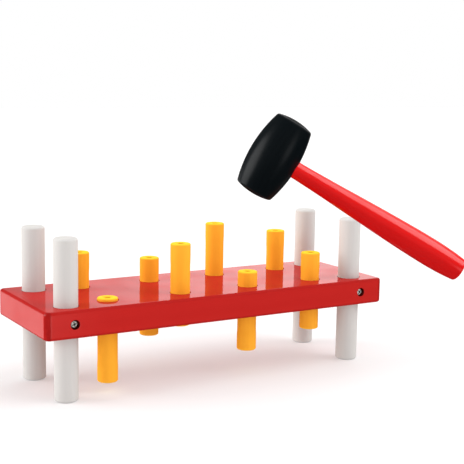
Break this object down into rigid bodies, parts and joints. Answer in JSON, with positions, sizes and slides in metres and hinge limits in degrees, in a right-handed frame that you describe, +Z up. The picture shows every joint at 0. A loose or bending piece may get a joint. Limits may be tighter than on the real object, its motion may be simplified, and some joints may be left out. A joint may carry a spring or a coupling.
{
  "type": "peg pounding bench",
  "caption": "Wooden pounding toy: a red board on white posts holds yellow pegs in drilled holes, with a black-headed hammer poised above to drive them down.",
  "frame": {"origin": "on the floor, under the middle of the board, centred between the four posts", "axes": "+X along the board to the right, +Y from the pictured long side to the far one, +Z up"},
  "size_m": [0.3377, 0.1724, 0.2109],
  "materials": {
    "red_lacquer": "glossy red lacquer",
    "white_lacquer": "satin white lacquer",
    "yellow_lacquer": "glossy yellow-orange lacquer",
    "black_lacquer": "satin black lacquer",
    "screw_steel": "bright zinc-plated steel"
  },
  "bodies": {
    "bench": {"board": "red_lacquer", "post_front_left": "white_lacquer", "post_front_right": "white_lacquer", "post_back_left": "white_lacquer", "post_back_right": "white_lacquer", "screw_front_left": "screw_steel", "screw_front_right": "screw_steel", "screw_back_left": "screw_steel", "screw_back_right": "screw_steel"},
    "peg_front_1": {"peg_front_1": "yellow_lacquer"},
    "peg_front_2": {"peg_front_2": "yellow_lacquer"},
    "peg_front_3": {"peg_front_3": "yellow_lacquer"},
    "peg_front_4": {"peg_front_4": "yellow_lacquer"},
    "peg_back_1": {"peg_back_1": "yellow_lacquer"},
    "peg_back_2": {"peg_back_2": "yellow_lacquer"},
    "peg_back_3": {"peg_back_3": "yellow_lacquer"},
    "peg_back_4": {"peg_back_4": "yellow_lacquer"},
    "hammer": {"hammer_head": "black_lacquer", "hammer_handle": "red_lacquer"}
  },
  "joints": [
    {"name": "peg_front_1_slide", "type": "slide", "parent": "bench", "child": "peg_front_1", "axis": [0, 0, -1], "range_m": [-0.042, 0.002]},
    {"name": "peg_front_2_slide", "type": "slide", "parent": "bench", "child": "peg_front_2", "axis": [0, 0, -1], "range_m": [-0.005, 0.039]},
    {"name": "peg_front_3_slide", "type": "slide", "parent": "bench", "child": "peg_front_3", "axis": [0, 0, -1], "range_m": [-0.032, 0.012]},
    {"name": "peg_front_4_slide", "type": "slide", "parent": "bench", "child": "peg_front_4", "axis": [0, 0, -1], "range_m": [-0.021, 0.023]},
    {"name": "peg_back_1_slide", "type": "slide", "parent": "bench", "child": "peg_back_1", "axis": [0, 0, -1], "range_m": [-0.0155, 0.0285]},
    {"name": "peg_back_2_slide", "type": "slide", "parent": "bench", "child": "peg_back_2", "axis": [0, 0, -1], "range_m": [-0.0245, 0.0195]},
    {"name": "peg_back_3_slide", "type": "slide", "parent": "bench", "child": "peg_back_3", "axis": [0, 0, -1], "range_m": [0, 0.0445]},
    {"name": "peg_back_4_slide", "type": "slide", "parent": "bench", "child": "peg_back_4", "axis": [0, 0, -1], "range_m": [-0.0095, 0.0345]},
    {"name": "hammer_swing", "type": "hinge", "parent": "bench", "child": "hammer", "pos_m": [0.13406, -0.0865, 0.11765], "axis": [-0.5, -0.866, 0], "range_deg": [-40, 30.5]}
  ]
}
